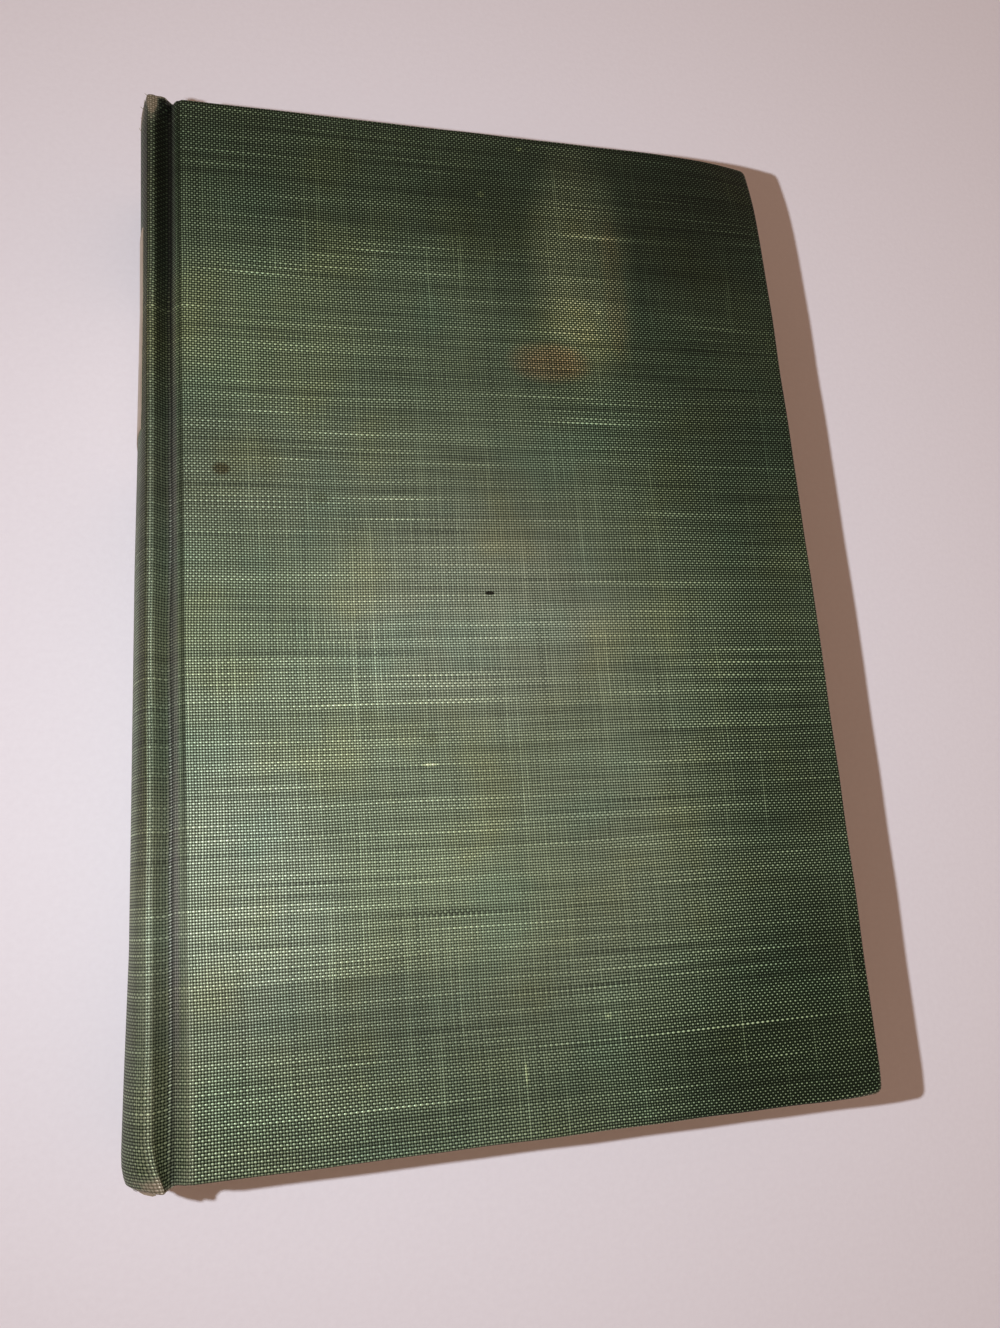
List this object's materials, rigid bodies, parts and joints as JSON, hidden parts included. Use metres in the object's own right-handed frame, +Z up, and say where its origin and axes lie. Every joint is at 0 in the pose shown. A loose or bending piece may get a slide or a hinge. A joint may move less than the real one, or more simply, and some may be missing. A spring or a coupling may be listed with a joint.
{
  "type": "hardback book",
  "caption": "Closed hardback book in worn green cloth, with a rounded spine, a bare paper label, joint grooves and a bumped corner; both covers open on their hinges.",
  "frame": {"origin": "under the middle of the closed book, on the surface that its back cover lies on", "axes": "+X from the spine to the fore edge, +Y from tail to head, +Z up through the front cover"},
  "size_m": [0.1298, 0.193, 0.03],
  "materials": {
    "cover_cloth": "worn, rubbed plain-weave book cloth",
    "spine_cloth": "faded plain-weave book cloth, frayed at both ends",
    "board": "grey-brown millboard",
    "inlay_card": "thin card",
    "page_paper": "aged uncoated book paper",
    "endpaper": "aged uncoated endpaper",
    "label_paper": "browned paper label, bare",
    "lining_paper": "brown spine paper",
    "gauze": "open cotton gauze, glued",
    "sewing_thread": "linen thread",
    "band_thread": "woven cotton band"
  },
  "bodies": {
    "text_block": {"pages": "page_paper", "sewing_thread": "sewing_thread", "spine_gauze": "gauze", "spine_lining_paper": "lining_paper", "head_band": "band_thread", "tail_band": "band_thread", "front_flyleaf": "endpaper", "back_flyleaf": "endpaper", "spine_inlay": "inlay_card", "spine_cloth": "spine_cloth", "spine_label": "label_paper"},
    "front_cover": {"front_board": "board", "front_cover_cloth": "cover_cloth", "front_gauze_flap": "gauze", "front_pastedown": "endpaper"},
    "back_cover": {"back_board": "board", "back_cover_cloth": "cover_cloth", "back_gauze_flap": "gauze", "back_pastedown": "endpaper"}
  },
  "joints": [
    {"name": "front_cover_hinge", "type": "hinge", "parent": "text_block", "child": "front_cover", "pos_m": [-0.06028, 0, 0.02875], "axis": [0, -1, 0], "range_deg": [0, 178]},
    {"name": "back_cover_hinge", "type": "hinge", "parent": "text_block", "child": "back_cover", "pos_m": [-0.06028, 0, 0.00125], "axis": [0, 1, 0], "range_deg": [0, 178]}
  ]
}
